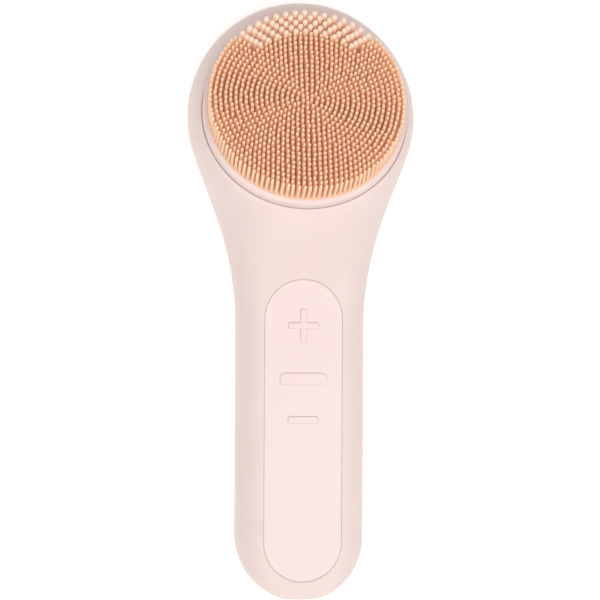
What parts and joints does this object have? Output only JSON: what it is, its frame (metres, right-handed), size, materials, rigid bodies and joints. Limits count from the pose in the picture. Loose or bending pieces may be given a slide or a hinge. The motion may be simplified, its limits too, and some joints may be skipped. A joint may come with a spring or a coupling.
{
  "type": "facial cleansing brush",
  "caption": "Handheld oscillating face brush with a pull-off round silicone bristle head and a keypad on the handle.",
  "frame": {"origin": "under the middle of the object, on the surface that it lies on", "axes": "+Y along the handle towards the head, +Z out of the front with the bristles, +X across to the right seen from the front with the head up"},
  "size_m": [0.0642, 0.1698, 0.0471],
  "materials": {
    "blush_silicone": "fine matte silicone over a rigid core",
    "panel_silicone": "fine matte silicone",
    "peach_silicone": "soft moulded silicone",
    "white_abs": "moulded",
    "grey_abs": "moulded",
    "black_rubber": "moulded",
    "steel": "turned and plated",
    "nickel_magnet": "nickel plated",
    "copper_wire": "enamelled winding",
    "gilt_brass": "gold plated",
    "board_green": "solder resist on glass fibre",
    "chip_black": "moulded epoxy",
    "cell_wrap": "shrink film",
    "red_lead": "extruded insulation",
    "black_lead": "extruded insulation"
  },
  "bodies": {
    "body": {"front_shell": "blush_silicone", "rear_shell": "blush_silicone", "control_panel": "panel_silicone", "motor_end_cap": "white_abs", "battery_cradle": "grey_abs", "motor_bracket": "grey_abs", "charging_block": "grey_abs", "shell_gasket": "black_rubber", "shaft_seal": "black_rubber", "motor_can": "steel", "board_screw_1": "steel", "board_screw_2": "steel", "bracket_screw_1": "steel", "bracket_screw_2": "steel", "bracket_screw_3": "steel", "charge_magnet_left": "nickel_magnet", "charge_magnet_right": "nickel_magnet", "stator_coil": "copper_wire", "front_bearing": "gilt_brass", "rear_bearing": "gilt_brass", "contact_negative": "gilt_brass", "contact_positive": "gilt_brass", "charge_pin_left": "gilt_brass", "charge_pin_right": "gilt_brass", "circuit_board": "board_green", "control_chip": "chip_black", "plus_switch_case": "chip_black", "power_switch_case": "chip_black", "minus_switch_case": "chip_black", "battery_cell": "cell_wrap", "battery_lead_red": "red_lead", "motor_lead_red": "red_lead", "battery_lead_black": "black_lead", "motor_lead_black": "black_lead"},
    "plus_button": {"plus_key": "panel_silicone", "plus_plunger": "steel"},
    "power_button": {"power_key": "panel_silicone", "power_plunger": "steel"},
    "minus_button": {"minus_key": "panel_silicone", "minus_plunger": "steel"},
    "drive": {"rotor_magnet": "nickel_magnet", "drive_shaft": "steel", "drive_hub": "white_abs"},
    "head": {"head_carrier": "white_abs", "brush_pad": "blush_silicone", "bristle_field": "peach_silicone"}
  },
  "joints": [
    {"name": "head_oscillation", "type": "hinge", "parent": "body", "child": "drive", "pos_m": [0, 0.0524, 0.0275], "axis": [0, 0.342, 0.9397], "range_deg": [-5, 5], "stiffness_Nm_per_rad": 0.05},
    {"name": "head_release", "type": "slide", "parent": "drive", "child": "head", "axis": [0, 0.342, 0.9397], "range_m": [0, 0.012]},
    {"name": "plus_press", "type": "slide", "parent": "body", "child": "plus_button", "axis": [0, 0, -1], "range_m": [0, 0.0005], "stiffness_N_per_m": 400},
    {"name": "power_press", "type": "slide", "parent": "body", "child": "power_button", "axis": [0, 0, -1], "range_m": [0, 0.0005], "stiffness_N_per_m": 400},
    {"name": "minus_press", "type": "slide", "parent": "body", "child": "minus_button", "axis": [0, 0, -1], "range_m": [0, 0.0005], "stiffness_N_per_m": 400}
  ]
}
